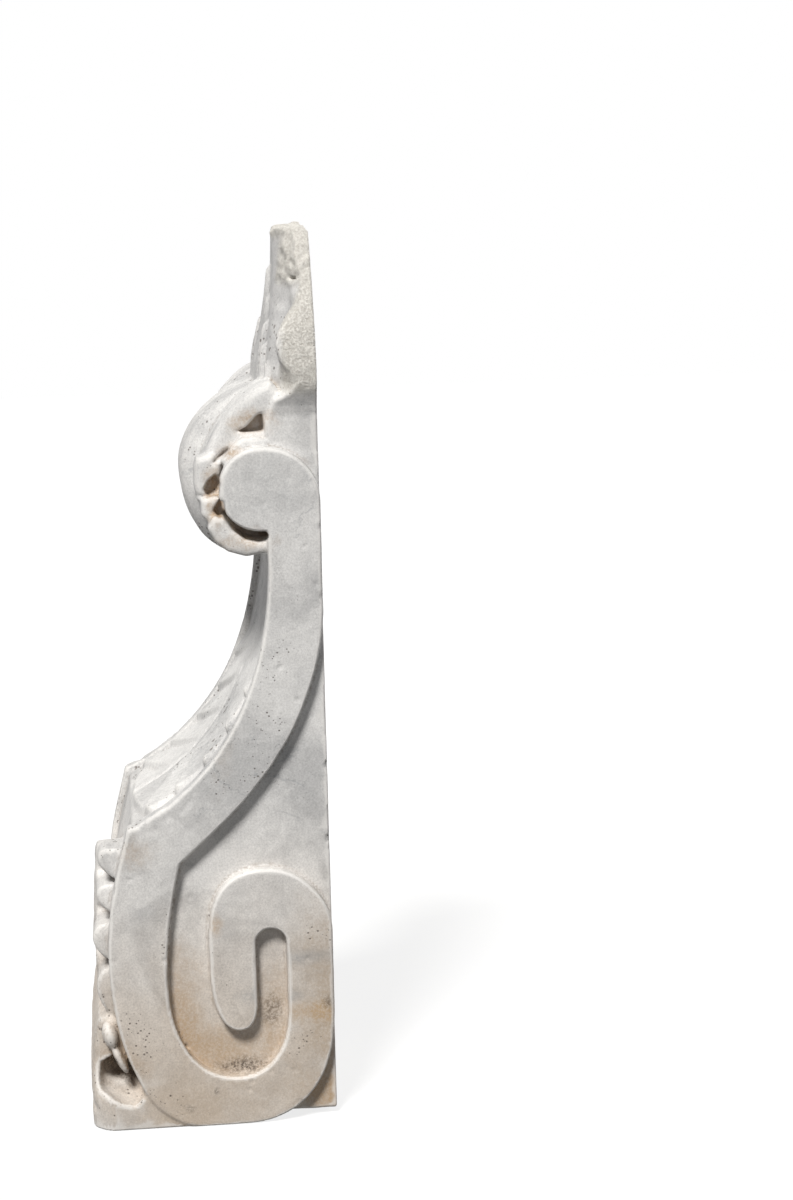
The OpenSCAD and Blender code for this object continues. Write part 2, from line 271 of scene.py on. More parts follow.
def band():
    """The S-shaped band, its big hooked scroll and its small disc, as one outline."""
    slot = 14
    return np.vstack([
        hollow_front(), scroll_front(),
        bezier((85, 0), (25, 0), (0, FOOT), (0, on_scroll(0.33))),
        bezier((0, on_scroll(0.69)), (0, on_scroll(0.82)), (25, ARCH_TOP), (60, ARCH_TOP)),
        bezier((60, ARCH_TOP), (95, ARCH_TOP), (112, on_hook(0.84)), (112, on_hook(0.54))),
        bezier((112, on_hook(0.4)), (112, on_hook(0.17)), (103, on_hook(0)), (87, on_hook(0))),
        bezier((87, on_hook(0)), (76, on_hook(0)), (70, on_hook(0.06)), (70, on_hook(0.17))),
        arc((56, ARCH_TOP - 70), slot, 0, 180),
        bezier((42, on_scroll(0.33)), (42, FOOT + 25), (60, FOOT), (89, FOOT)),
        bezier((89, FOOT), (130, FOOT), (150, FOOT + 40), (150, on_scroll(0.49))),
        bezier((150, on_scroll(0.49)), (150, on_scroll(0.7)), (INNER[0] + 7, INNER[1] - 23), INNER),
        bezier(INNER, (INNER[0] - 60, INNER[1] + 52), (10, DISC[1] - 223), (0, DISC[1] - 113)),
        arc((50, DISC[1] - 13), 50, 180, 90),
        arc(DISC, DISC_R, 80, -97)])


# ---------------------------------------------------------------- hand-made unevenness
def lattice(shape, cell, seed):
    """Smooth random waves from -1 to 1 over the block, with a given size of cell in millimetres."""
    rng = np.random.default_rng(seed)
    counts = [max(4, int(n * STEP / cell) + 4) for n in shape]
    field = rng.uniform(-1, 1, counts).astype(np.float32)
    for axis, (n, m) in enumerate(zip(shape, counts)):
        place = np.arange(n) * STEP / cell + 1
        base = np.clip(place.astype(int), 1, m - 3)
        t = (place - base).astype(np.float32)
        weights = [-t * (1 - t) ** 2 / 2, (2 - 5 * t ** 2 + 3 * t ** 3) / 2,
                   (t + 4 * t ** 2 - 3 * t ** 3) / 2, t ** 2 * (t - 1) / 2]
        form = [1, 1, 1]
        form[axis] = n
        field = sum(np.take(field, base + k - 1, axis=axis) * w.reshape(form)
                    for k, w in enumerate(weights))
    return field


def softened(field):
    """The field with each point blended into its neighbours."""
    for axis in range(3):
        back = np.roll(field, 1, axis)
        ahead = np.roll(field, -1, axis)
        field = field * 0.5 + (back + ahead) * 0.25
    return field


# ---------------------------------------------------------------- carving
class Block:
    """The block's carving points, and its field of distances to the stone, negative inside."""

    def __init__(self):
        margin = 3 * STEP
        self.across = np.arange(-HALF - margin, HALF + margin, STEP, dtype=np.float32)
        self.out = np.arange(-margin, DEPTH + margin, STEP, dtype=np.float32)
        self.up = np.arange(-margin, HEIGHT + margin, STEP, dtype=np.float32)
        self.x = np.abs(self.across)[:, None, None]
        self.near = self.across[:, None, None]
        self.u = self.out[None, :, None]
        self.v = self.up[None, None, :]
        self.u2 = self.out[:, None]
        self.v2 = self.up[None, :]
        self.shape = (len(self.across), len(self.out), len(self.up))
        self.field = np.full(self.shape, 50.0, np.float32)
        self.band = None        # distance to the bands' outline, by out and up
        self.rough = None       # how broken the stone is at each point, from 0 to 1

    def window(self, x, u, v):
        """Slices of the block that hold a box given by its ranges across (both sides), out and up."""
        def cut(axis, span):
            a, b = np.searchsorted(axis, span)
            return slice(max(a - 1, 0), min(b + 1, len(axis)))
        return cut(self.across, (-x, x)), cut(self.out, u), cut(self.up, v)

    def ball(self, centre, radii, turn=0.0, both=True):
        """Distance to an ellipsoid turned in the side plane, on both sides of the stone or on one."""
        reach = max(radii) + 8
        outs, ups = ((middle - reach, middle + reach) for middle in centre[1:])
        w = self.window(abs(centre[0]) + reach, outs, ups)
        x = (self.x if both else self.near)[w[0]] - centre[0]
        u = self.u[:, w[1]] - centre[1]
        v = self.v[:, :, w[2]] - centre[2]
        c, s = math.cos(math.radians(turn)), math.sin(math.radians(turn))
        p = (u * c + v * s) / radii[1]
        q = (v * c - u * s) / radii[2]
        r = np.sqrt((x / radii[0]) ** 2 + p ** 2 + q ** 2)
        return w, ((r - 1) * min(radii)).astype(np.float32)

    def add(self, centre, radii, turn=0.0, blend=3.0, both=True):
        """Joins an ellipsoid to the stone."""
        w, d = self.ball(centre, radii, turn, both)
        self.field[w] = soft_min(self.field[w], d, blend)

    def drill(self, centre, radii, turn=0.0, blend=1.5, both=True):
        """Cuts an ellipsoid out of the stone."""
        w, d = self.ball(centre, radii, turn, both)
        self.field[w] = soft_max(self.field[w], -d, blend)


def carve_stone(b):
    """Grounds, bands and hollow front, cut from the block."""
    edge = np.vstack([[(NECK[0], NECK[1] + LEAD_IN)], hollow_front(), scroll_front(), [(-20, 0)]])
    run, off = along(edge, b.u2, b.v2)
    ground = np.maximum(off + SINK, b.v2 - (DISC[1] + 30))
    b.field = soft_max(ground[None], b.x - GROUND, 3.0)
    b.band = outline(band(), b.u2, b.v2)
    flank = soft_max(b.band[None], b.x - HALF + 0.3, 2.2)
    flank = np.maximum(flank, GROUND - 4 - b.x)
    b.field = soft_min(b.field, flank, 1.6)
    corner_run = LEAD_IN + float(np.hypot(*np.diff(hollow_front(), axis=0).T).sum())
    return run - corner_run, off


def knob(t, start, end, rise):
    """One lobe along the leaf's margin: it swells quickly and tapers away below."""
    share = np.clip((t - start) / (end - start), 0, 1)
    return rise * np.sqrt(np.clip(np.sin(np.pi * share ** 0.75), 0, 1))


def hollow_leaf(x, t):
    """The leaf on the hollow front: slanting leaflets that overlap, scalloped margins, a sunk midrib."""
    phase = (t + 0.45 * (72 - x) + 18) / 36
    saw = phase - np.floor(phase)
    leaflet = saw * (1 - smooth((saw - 0.80) / 0.18))
    margin = 86 + 9 * np.sqrt(np.abs(np.sin(np.pi * phase)))
    edge = smooth((margin - x) / 7)
    body = -6 + edge * (4.5 + 6.2 * leaflet * smooth(x / 26) * (0.55 + 0.45 * smooth((x - 20) / 50)))
    body = body + 2.5 * smooth(1 - x / 44) - 3.2 * np.exp(-(x / 2.4) ** 2)
    body = body + 0.5 * np.cos(2 * np.pi * (x + 0.5 * t) / 8.5) * edge
    tongue = smooth((-2 - t - 16 * (x / 90) ** 2) / 7)
    return -SINK + smooth((t + 210) / 60) * tongue * (body + SINK)


def scroll_leaf(x, t, whole):
    """The leaf over the scroll: a ribbed body and margin knobs, broken off short where not whole."""
    fan = (x + 1.6 * np.sin(t / 19)) / (0.62 + 0.0045 * t)
    rib = np.abs(np.cos(np.pi * fan / 15))
    body = 11.5 + 3.5 * smooth((95 - t) / 50) + 2.0 * np.sqrt(rib) - 0.5 * np.cos(t / 6.5 + x / 9)
    body = body - 2.2 * np.exp(-(x / 2.5) ** 2) - 1.2 * smooth((x - 40) / 20)
    side = smooth((x - 54 - 7 * np.sqrt(np.abs(np.sin(np.pi * (t - 20) / 36)))) / 6)
    knobs = -SINK
    for start, end, rise in MARGIN_KNOBS:
        lift = knob(t, start, end, rise)
        knobs = np.maximum(knobs, lift - SINK - 0.35 * rise * smooth((72 - x) / 24))
    begin = np.where(side > 0.5, 22, 42)
    if not whole:
        knobs = np.maximum(knobs, body - 2.0)
        begin = 42 + 0.36 * x
    lower = body * (1 - side) + knobs * side
    lower = lower - (lower + SINK) * smooth((x - 98) / 6)
    return lower - (lower + SINK) * smooth((begin + 4 - t) / 6)


def leaf_heights(across, t):
    """Height of the front leaf over the bands' edges: across the stone, t down the front from the corner."""
    x = np.abs(across)
    upper = hollow_leaf(x, t)
    lower = np.where(across > 0, scroll_leaf(x, t, True), scroll_leaf(x, t, False))
    return np.where(t < 0, upper, np.maximum(lower, lerp(upper, -SINK, smooth(t / 14))))


def carve_front_leaf(b, t, off):
    """The long leaf that runs down the hollow front and over the scroll."""
    steps = np.arange(-240, 262, STEP)
    table = leaf_heights(b.across[:, None], steps[None, :]).astype(np.float32)
    w = b.window(GROUND, (20, DEPTH), (50, NECK[1] - 10))
    place = np.clip(((t - steps[0]) / STEP), 0, len(steps) - 1.001)[w[1:]]
    first = place.astype(int)
    part = (place - first).astype(np.float32)
    rows = table[w[0]]
    height = rows[:, first] * (1 - part) + rows[:, first + 1] * part
    leaf = (off[w[1:]][None] - height) * 0.75
    leaf = np.maximum(leaf, -off[w[1:]][None] - 26)
    leaf = soft_max(leaf, b.x[w[0]] - GROUND - 0.5, 1.5)
    b.field[w] = soft_min(b.field[w], leaf, 2.0)
    for out, up in LEAFLET_HOLES:
        b.drill((77, out, up), (3.2, 2.4, 4.6), 25, 1.0)


def at_height(points, v):
    """The value at a height, from pairs of a height and a value."""
    ups, values = zip(*points)
    return np.interp(v, ups, values).astype(np.float32)


def carve_top_leaf(b):
    """The upright leaf above the curl: overlapping strands, wavy fluted margins and a broken tip."""
    w = b.window(HALF, (-5, 80), (DISC[1] - 10, HEIGHT + 5))
    x, u, v = b.x[w[0]], b.u[:, w[1]], b.v[:, :, w[2]]
    middle = at_height(TOP_MIDDLE, v)
    margin = at_height(TOP_MARGIN, v)
    flank = at_height(TOP_FLANK, v)
    share = np.clip(x / (flank - 5), 0, 1.05)
    front = middle - (middle - margin) * share ** 3
    groove = np.exp(-((share - 0.80) / 0.10) ** 2)
    front = front - 7.5 * groove * smooth((v - 676) / 20) * smooth((HEIGHT - 30 - v) / 60)
    for centre, half, tip, proud in STRANDS:
        narrow = np.sqrt(np.clip((tip - v) / 45, 0.0, 1))
        across = np.clip(1 - ((x - centre) / (half * np.maximum(narrow, 0.2))) ** 2, 0, 1)
        front = front + proud * smooth((tip - v) / 7) * np.sqrt(across)
    leaf = (u - front) * 0.75
    leaf = soft_max(leaf, (x - flank) * 0.9, 1.6)
    ragged = np.maximum(lattice(b.shape, 17, SEED + 6)[w], -0.2)
    ragged = ragged * (1 - 0.7 * np.exp(-((b.near[w[0]] - 42) / 16) ** 2))
    leaf = soft_max(leaf, v - HEIGHT + 2.5 + 0.012 * (u - 14) ** 2 + 7 * ragged, 1.5)
    b.field[w] = soft_min(b.field[w], leaf, 2.0)


def curl_body(fullness):
    """Side outline of the rolled-over leaf: full in the middle of the stone, leaner at the ends."""
    top = DISC[1] + lerp(93, 86, fullness)
    out = lerp(106, 120, fullness)
    bottom = DISC[1] - lerp(54, 72.5, fullness)
    nose = DISC[1] + lerp(4, 12, fullness)
    return np.vstack([
        bezier((40, top), (lerp(64, 74, fullness), top - 4), (out - 4, nose + 40), (out, nose)),
        bezier((out, nose - 3), (out, nose - lerp(34, 52, fullness)), (DISC[0] + 42, bottom),
               (DISC[0], bottom)),
        [(28, DISC[1] - 48), (28, DISC[1] + 80)]])


def carve_curl(b):
    """The leaf rolled over in front of the disc, with its lobes, drilled eyes and under-lobe."""
    w = b.window(GROUND + 9, (10, 135), (DISC[1] - 90, DISC[1] + 125))
    x = b.x[w[0]]
    u2, v2 = b.u2[w[1]], b.v2[:, w[2]]
    disc_v = v2 - DISC[1]

    def flat(points):
        shifted = [(out, up + DISC[1]) for out, up in points]
        return outline(np.array(shifted, float), u2, v2)[None]

    full = outline(curl_body(1.0), u2, v2)[None]
    lean = outline(curl_body(0.0), u2, v2)[None]
    turn = np.degrees(np.arctan2(disc_v, u2 - DISC[0]))[None]
    roll = lerp(full, lean, smooth((x - 30) / 22))
    face = smooth((turn + 48) / 30)
    for groove, depth, half in CURL_GROOVES:
        roll = roll + depth * np.exp(-np.abs((x - groove) / half) ** 1.3) * face
    roll = roll + 0.45 * np.cos(2 * np.pi * (x + 2 * lattice(b.shape, 30, SEED + 9)[w]) / 5.2) * face
    side = 92 + 9 * smooth((88 - u2) / 36) + 2.0 * smooth((disc_v - 40) / 40)
    roll = soft_max(roll * 0.88, (x - side[None]) * 0.9, 10.0)
    b.field[w] = soft_min(b.field[w], roll, 1.6)
    for centre, radii, lean_by in CURL_FOLDS:
        b.drill(centre, radii, lean_by, 3.0)
    for points, inner, outer, rounding in CURL_LOBES:
        body = soft_max(flat(points), x - outer, rounding)
        b.field[w] = soft_min(b.field[w], soft_max(body, inner - x, 5.0), 1.2)
    for points, floor, rounding, blend in CURL_HOLLOWS:
        b.field[w] = soft_max(b.field[w], -soft_max(flat(points), floor - x, rounding), blend)
    # Two cuts between the lobes' ends
    b.drill((98, 84, 612), (12, 10, 2.2), -38, 1.6)
    b.drill((106, 104, 577), (10, 8, 1.8), 10, 1.0)


def carve_base_leaf(b):
    """The leaf end rolled under the foot of the scroll, standing on the base."""
    w = b.window(HALF, (100, DEPTH + 4), (-5, 125))
    x, u, v = b.x[w[0]], b.u[:, w[1]], b.v[:, :, w[2]]
    ring = [(110, -6)] + [(DEPTH + out, up) for out, up in BASE_LEAF] + [(150, 60)]
    side = np.array(ring, float)
    foot = outline(side, b.u2[w[1]], b.v2[:, w[2]])[None]
    reach = 115.5 - 13 * smooth((v - 26) / 40)
    p = np.maximum(x - reach + 26, 0)
    q = np.maximum(u - DEPTH + 27, 0)
    plan = np.hypot(p, q) - 26
    foot = soft_max(foot, plan, 3.0)
    rib = np.sqrt(np.abs(np.cos(np.pi * (x + 0.05 * v) / 19)))
    foot = foot + 1.6 * (1 - rib) * smooth((v - 62) / 10) * smooth((u - 190) / 20)
    b.field[w] = soft_min(b.field[w], foot, 2.0)
    hollow = outline(np.array(BASE_HOLLOW, float), b.u2[w[1]], b.v2[:, w[2]])
    hollow = np.maximum(hollow, 1.5 - b.band[w[1:]])[None]
    hollow = hollow + 3.0 * lattice(b.shape, 19, SEED + 7)[w]
    floor = 116.5 - 50 * smooth((v - 17) / 34) * smooth((230 - u) / 34)
    floor = floor + 2.5 * lattice(b.shape, 12, SEED + 8)[w]
    b.field[w] = soft_max(b.field[w], -soft_max(hollow, floor - x, 4.0), 2.0)
    # A chip at the hollow's front, the two lobes of the stem behind it, and the cut between them
    b.drill((108, 222, 19), (12, 4, 4.5), 0, 1.5)
    b.add((104, 204, 88), (11, 7, 13), -14, 1.5)
    b.add((105, 196, 66), (9, 4.5, 17), -24, 1.5)
    b.drill((112, 214, 64), (8, 9, 1.2), -40, 1.0)


def carve_wear(b):
    """Tool waviness, broken and granular faces, chips and pits."""
    b.field += 0.32 * lattice(b.shape, 55, SEED)
    b.field += 0.16 * lattice(b.shape, 13, SEED + 1)
    rough = lattice(b.shape, 5.5, SEED + 2)
    rough += 0.6 * lattice(b.shape, 3.2, SEED + 3)
    crown = smooth((b.v - (HEIGHT - 16)) / 8)
    corner = smooth((b.v - (HEIGHT - 56)) / 12) * smooth((b.x - 36) / 16)
    broken = np.maximum(corner, crown) * np.ones_like(b.u)
    flank = smooth((b.v - 660) / 12) * smooth((b.x - 84) / 8) * smooth((34 - b.u) / 8)
    b.rough = np.clip(broken + flank, 0, 1).astype(np.float32)
    b.field += (1.4 * broken + 0.6 * flank) * rough
    arris = smooth((b.v - 270) / 20) * smooth((330 - b.v) / 30) * smooth((b.x - 100) / 8)
    arris = arris * smooth((b.u - 100) / 30)
    b.field += 1.1 * np.maximum(arris * (rough + 0.8 * lattice(b.shape, 11, SEED + 5)), 0)
    for centre, radii in CHIPS:
        b.drill(centre, radii, 0, 1.5, both=False)
    # The scoop and the split in the broken tip
    b.drill((76, 19, 788), (15, 5, 6.5), 20, 2.0, both=False)
    b.drill((74, 16, 762), (8, 5, 1.6), -15, 1.0, both=False)
    rng = np.random.default_rng(SEED + 4)
    for _ in range(PITS):
        place = rng.uniform((0, 0), (200, 790))
        size = rng.uniform(1.1, 2.2)
        side = rng.choice((-1, 1))
        depth_at = HALF if rng.uniform() < 0.7 else GROUND
        b.drill((side * depth_at, place[0], place[1]), (size, size, size * rng.uniform(0.7, 1.6)),
                rng.uniform(-60, 60), 0.8, both=False)


def carve():
    """The whole stone, from the squared block to the worn surface."""
    block = Block()
    t, off = carve_stone(block)
    carve_front_leaf(block, t, off)
    carve_top_leaf(block)
    carve_curl(block)
    carve_base_leaf(block)
    carve_wear(block)
    block.field = softened(block.field)
    # The wall face and the bed are sawn flat, and the block's own faces bound everything
    bounds = np.maximum(np.maximum(-block.u, block.u - DEPTH + 0.5),
                        np.maximum(-block.v, block.v - HEIGHT + 0.5))
    block.field = np.maximum(block.field, bounds)
    block.field = np.maximum(block.field, block.x - HALF + 0.2)
    return block


def drop_crumbs(mesh):
    """Deletes faces of no area, and crumbs that the carving cut off the stone."""
    work = bmesh.new()
    work.from_mesh(mesh)
    bmesh.ops.dissolve_degenerate(work, dist=0.00001, edges=work.edges[:])
    bmesh.ops.triangulate(work, faces=[face for face in work.faces if len(face.verts) > 3])
    seen = set()
    pieces = []
    for start in work.verts:
        if start in seen:
            continue
        seen.add(start)
        piece = [start]
        for point in piece:
            for edge in point.link_edges:
                other = edge.other_vert(point)
                if other not in seen:
                    seen.add(other)
                    piece.append(other)
        pieces.append(piece)
    pieces.sort(key=len)
    crumbs = [point for piece in pieces[:-1] for point in piece]
    bmesh.ops.delete(work, geom=crumbs, context="VERTS")
    work.to_mesh(mesh)
    work.free()


def settle(stone):
    """Fixes the stone's modifiers into its mesh."""
    before = stone.data
    after = bpy.data.meshes.new_from_object(stone.evaluated_get(bpy.context.evaluated_depsgraph_get()))
    stone.modifiers.clear()
    stone.data = after
    bpy.data.meshes.remove(before)


def mesh_of(block, name):
    """The carved surface as one closed mesh in the frame's metres."""
    limit = 3.0
    grid = openvdb.FloatGrid(limit)
    grid.copyFromArray(np.clip(block.field, -limit, limit))
    points, triangles, quads = grid.convertToPolygons(0.0, 0.0)
    first = np.array([block.across[0], block.out[0], block.up[0]])
    points = points * STEP + first
    points = np.stack([points[:, 0], -points[:, 1], points[:, 2]], 1) / MM
    points[:, 2] += low.z
    mesh = bpy.data.meshes.new(name)
    faces = quads.tolist() + triangles.tolist()
    mesh.from_pydata(points.tolist(), [], faces, shade_flat=False)
    mesh.validate()
    mesh.flip_normals()
    stone = bpy.data.objects.new(name, mesh)
    bpy.context.scene.collection.objects.link(stone)
    thin = stone.modifiers.new("thin", "DECIMATE")
    thin.ratio = min(1.0, MOST_TRIANGLES / (2 * len(quads) + len(triangles)))
    settle(stone)
    drop_crumbs(stone.data)
    level = stone.modifiers.new("level", "WEIGHTED_NORMAL")
    level.weight = 80
    settle(stone)
    stone.data.name = name
    return stone


def box_mean(field, reach):
    """Mean of the field over a box that reaches so many carving points each way."""
    for axis in range(3):
        total = np.cumsum(np.pad(field, [(reach + 1, reach) if a == axis else (0, 0) for a in range(3)],
                                 mode="edge"), axis=axis, dtype=np.float64)
        span = 2 * reach + 1
        field = (np.take(total, range(span, total.shape[axis]), axis=axis)
                 - np.take(total, range(total.shape[axis] - span), axis=axis)).astype(np.float32) / span
    return field


def keep_mark(stone, name, values):
    """Keeps one value for each point of the mesh, under a name that the marble reads."""
    mark = stone.data.attributes.new(name, "FLOAT", "POINT")
    mark.data.foreach_set("value", values)


def mark_surface(block, stone):
    """Marks each point of the mesh with how enclosed it lies, near and wide, and how broken it is."""
    count = len(stone.data.vertices)
    places = np.zeros(count * 3, np.float32)
    stone.data.vertices.foreach_get("co", places)
    places = places.reshape(-1, 3)
    place = np.stack([places[:, 0] * MM - block.across[0], -places[:, 1] * MM - block.out[0],
                      (places[:, 2] - low.z) * MM - block.up[0]], 1) / STEP
    index = [np.clip(np.round(place[:, i]).astype(int), 0, block.shape[i] - 1) for i in range(3)]
    filled = np.clip(0.5 - block.field / (2 * STEP), 0, 1)
    for name, reach in (("hollow_near", 3), ("hollow_wide", 11)):
        filled = box_mean(filled, reach)
        keep_mark(stone, name, filled[index[0], index[1], index[2]])
    keep_mark(stone, "rough", block.rough[index[0], index[1], index[2]])


# ---------------------------------------------------------------- camera, light and ground
def set_camera():
    """The view from in front of the stone's right flank, a little above its middle."""
    place = (2.3583, -0.1673, low.z + 0.9155)
    yaw, pitch, roll = 0.1031, 0.1908, -0.0234      # radians, from a level view straight across
    look = Vector((-math.cos(yaw) * math.cos(pitch), math.sin(yaw) * math.cos(pitch), -math.sin(pitch)))
    right = Vector((math.sin(yaw), math.cos(yaw), 0))
    up = right.cross(look)
    turned_right = right * math.cos(roll) + up * math.sin(roll)
    turned_up = up * math.cos(roll) - right * math.sin(roll)
    camera = bpy.data.objects.new("Camera", bpy.data.cameras.new("Camera"))
    bpy.context.scene.collection.objects.link(camera)
    camera.data.lens = 78
    camera.data.sensor_width = 36
    axes = Matrix((turned_right, turned_up, -look)).transposed()
    camera.matrix_world = Matrix.Translation(place) @ axes.to_4x4()
    bpy.context.scene.camera = camera


def area_lamp(name, towards, distance, size, power, colour):
    """An area lamp that stands off the stone's middle in a given direction and faces it."""
    middle = Vector((0, (low.y + high.y) / 2, (low.z + high.z) / 2))
    lamp = bpy.data.objects.new(name, bpy.data.lights.new(name, "AREA"))
    lamp.data.shape = "DISK"
    lamp.data.size = size
    lamp.data.energy = power
    lamp.data.color = colour
    direction = Vector(towards).normalized()
    lamp.location = middle + direction * distance
    lamp.rotation_mode = "QUATERNION"
    lamp.rotation_quaternion = direction.to_track_quat("Z", "Y")
    bpy.context.scene.collection.objects.link(lamp)


def set_lights():
    """A high sun over the right flank, a lamp behind the far flank and a faint fill by the camera."""
    sun = bpy.data.objects.new("Key light", bpy.data.lights.new("Key light", "SUN"))
    sun.data.energy = 3.8
    sun.data.angle = 0.24
    sun.data.color = (1.0, 0.985, 0.96)
    sun.rotation_mode = "QUATERNION"
    sun.rotation_quaternion = Vector((0.55, -0.26, 0.79)).to_track_quat("Z", "Y")
    bpy.context.scene.collection.objects.link(sun)
    area_lamp("Back lamp", towards=(-0.75, 0.75, 0.45), distance=3.2, size=2.0, power=55,
              colour=(1.0, 0.99, 0.97))
    area_lamp("Broad fill lamp", towards=(0.95, 0.20, 0.22), distance=3.0, size=2.0, power=4,
              colour=(0.93, 0.96, 1.0))


class Nodes:
    """Short-hand for placing and joining the nodes of one tree."""

    def __init__(self, tree):
        self.tree = tree

    def add(self, kind, inputs=(), **settings):
        """A new node, its inputs given as plain values or as sockets."""
        node = self.tree.nodes.new(kind)
        for key, value in settings.items():
            setattr(node, key, value)
        for key, value in dict(inputs).items():
            self.feed(node.inputs[key], value)
        return node

    def feed(self, socket, value):
        """Joins a socket to an input, or writes a plain value on it."""
        if isinstance(value, bpy.types.NodeSocket):
            self.tree.links.new(value, socket)
        else:
            socket.default_value = value

    def math(self, operation, a, b=0.0, clamp=False):
        node = self.add("ShaderNodeMath", {0: a, 1: b}, operation=operation, use_clamp=clamp)
        return node.outputs[0]

    def ramp(self, value, start, end, to_min=0.0, to_max=1.0):
        """Eases from one value to another as the input goes from start to end."""
        node = self.add("ShaderNodeMapRange", {"Value": value, "From Min": start, "From Max": end,
                                               "To Min": to_min, "To Max": to_max},
                        interpolation_type="SMOOTHSTEP")
        return node.outputs["Result"]

    def noise(self, where, scale, detail=4.0, roughness=0.55, distortion=0.0):
        node = self.add("ShaderNodeTexNoise", {"Vector": where, "Scale": scale, "Detail": detail,
                                               "Roughness": roughness, "Distortion": distortion})
        return node.outputs["Fac"]

    def mix(self, share, a, b, blend="MIX"):
        """Two colours mixed by a share."""
        node = self.tree.nodes.new("ShaderNodeMix")
        node.data_type = "RGBA"
        node.blend_type = blend
        self.feed(node.inputs[0], share)        # sockets 0, 6 and 7 are the share and the two colours
        self.feed(node.inputs[6], a)
        self.feed(node.inputs[7], b)
        return node.outputs[2]

    def tint(self, colour, mask, strength, tone):
        """The colour with a tone laid over it where the mask is."""
        return self.mix(self.math("MULTIPLY", mask, strength), colour, tone)

    def group(self, tree, output, **inputs):
        """One output of a node group placed with its own values."""
        return self.add("ShaderNodeGroup", inputs, node_tree=tree).outputs[output]

    def seen(self):
        """1 for what the camera sees straight, in a gloss or through glass, and 0 for other light."""
        path = self.add("ShaderNodeLightPath").outputs
        straight = self.math("MAXIMUM", path["Is Camera Ray"], path["Is Glossy Ray"])
        return self.math("MAXIMUM", straight, path["Is Transmission Ray"])


def node_group(name, inputs, outputs, build):
    """A shader node group with named sockets, filled in by its build function."""
    group = bpy.data.node_groups.new(name, "ShaderNodeTree")
    for label, kind in inputs:
        group.interface.new_socket(name=label, in_out="INPUT", socket_type="NodeSocket" + kind)
    for label, kind in outputs:
        group.interface.new_socket(name=label, in_out="OUTPUT", socket_type="NodeSocket" + kind)
    n = Nodes(group)
    entry = group.nodes.new("NodeGroupInput")
    leave = group.nodes.new("NodeGroupOutput")
    for label, socket in build(n, entry.outputs).items():
        group.links.new(socket, leave.inputs[label])
    return group


def build_mottle(n, i):
    """Slow clouds of two colours, with a few thin bent veins of a third."""
    cloud = n.noise(i["Position"], i["Size"], 7, 0.62, 0.6)
    clouded = n.mix(n.ramp(cloud, 0.40, 0.66), i["Pale"], i["Cloud"])
    bent = n.noise(i["Position"], n.math("MULTIPLY", i["Size"], 0.45), 5, 0.55, 1.6)
    line = n.ramp(n.math("ABSOLUTE", n.math("SUBTRACT", bent, 0.5)), 0.0, 0.012, 1.0, 0.0)
    here = n.ramp(n.noise(i["Position"], n.math("MULTIPLY", i["Size"], 0.8), 2), 0.5, 0.66)
    veined = n.math("MULTIPLY", n.math("MULTIPLY", line, here), i["Veins"])
    return {"Color": n.mix(veined, clouded, i["Vein"])}


def build_specks(n, i):
    """Scattered dark specks of uneven size and place."""
    cells = n.add("ShaderNodeTexVoronoi", {"Vector": i["Position"], "Scale": i["Scale"], "Randomness": 1.0},
                  feature="F1")
    ragged = n.noise(i["Position"], n.math("MULTIPLY", i["Scale"], 2.2), 3)
    radius = n.math("MULTIPLY", n.ramp(n.noise(i["Position"], 14.0, 3), 0.38, 0.68), i["Radius"])
    chosen = n.add("ShaderNodeSeparateColor", {"Color": cells.outputs["Color"]}).outputs[0]
    radius = n.math("MULTIPLY", radius, n.ramp(chosen, 0.35, 1.0))
    distance = n.math("ADD", cells.outputs["Distance"], n.math("MULTIPLY", ragged, 0.12))
    edge = n.math("SUBTRACT", n.math("ADD", radius, 0.06), distance)
    return {"Mask": n.ramp(edge, 0.0, 0.10)}


def build_spot(n, i):
    """A ragged patch round a centre."""
    gap = n.add("ShaderNodeVectorMath", {0: i["Position"], 1: i["Centre"]}, operation="SUBTRACT").outputs[0]
    scaled = n.add("ShaderNodeVectorMath", {0: gap, 1: i["Radii"]}, operation="DIVIDE").outputs[0]
    length = n.add("ShaderNodeVectorMath", {0: scaled}, operation="LENGTH").outputs["Value"]
    ragged = n.math("SUBTRACT", n.noise(i["Position"], i["Scale"], 5, 0.65), 0.5)
    edge = n.math("ADD", length, n.math("MULTIPLY", ragged, i["Ragged"]))
    soft = n.ramp(edge, 0.0, 1.05, 1.0, 0.0)
    grains = n.ramp(n.noise(i["Position"], 420.0, 3, 0.7), 0.62, 0.40)
    return {"Mask": n.math("MULTIPLY", soft, lerped(n, i["Speckle"], grains))}


def lerped(n, share, value):
    """The value where the share is 1, and 1 where the share is 0."""
    return n.math("SUBTRACT", 1.0, n.math("MULTIPLY", share, n.math("SUBTRACT", 1.0, value)))


def stone_point(side, out, up):
    """A place on the stone, given in block millimetres, in metres of the frame."""
    return (side / MM, -out / MM, low.z + up / MM)


def grained(n, place, crystals, colour):
    """The colour with the marble's crystal grain and fine blotches."""
    blotches = n.ramp(n.noise(place, 105.0, 6, 0.75), 0.30, 0.70, 0.92, 1.05)
    grain = n.math("MULTIPLY", n.ramp(crystals, 0.30, 0.70, 0.84, 1.10), blotches)
    toned = n.add("ShaderNodeCombineColor", {0: grain, 1: grain, 2: grain}).outputs[0]
    return n.mix(1.0, colour, toned, "MULTIPLY")


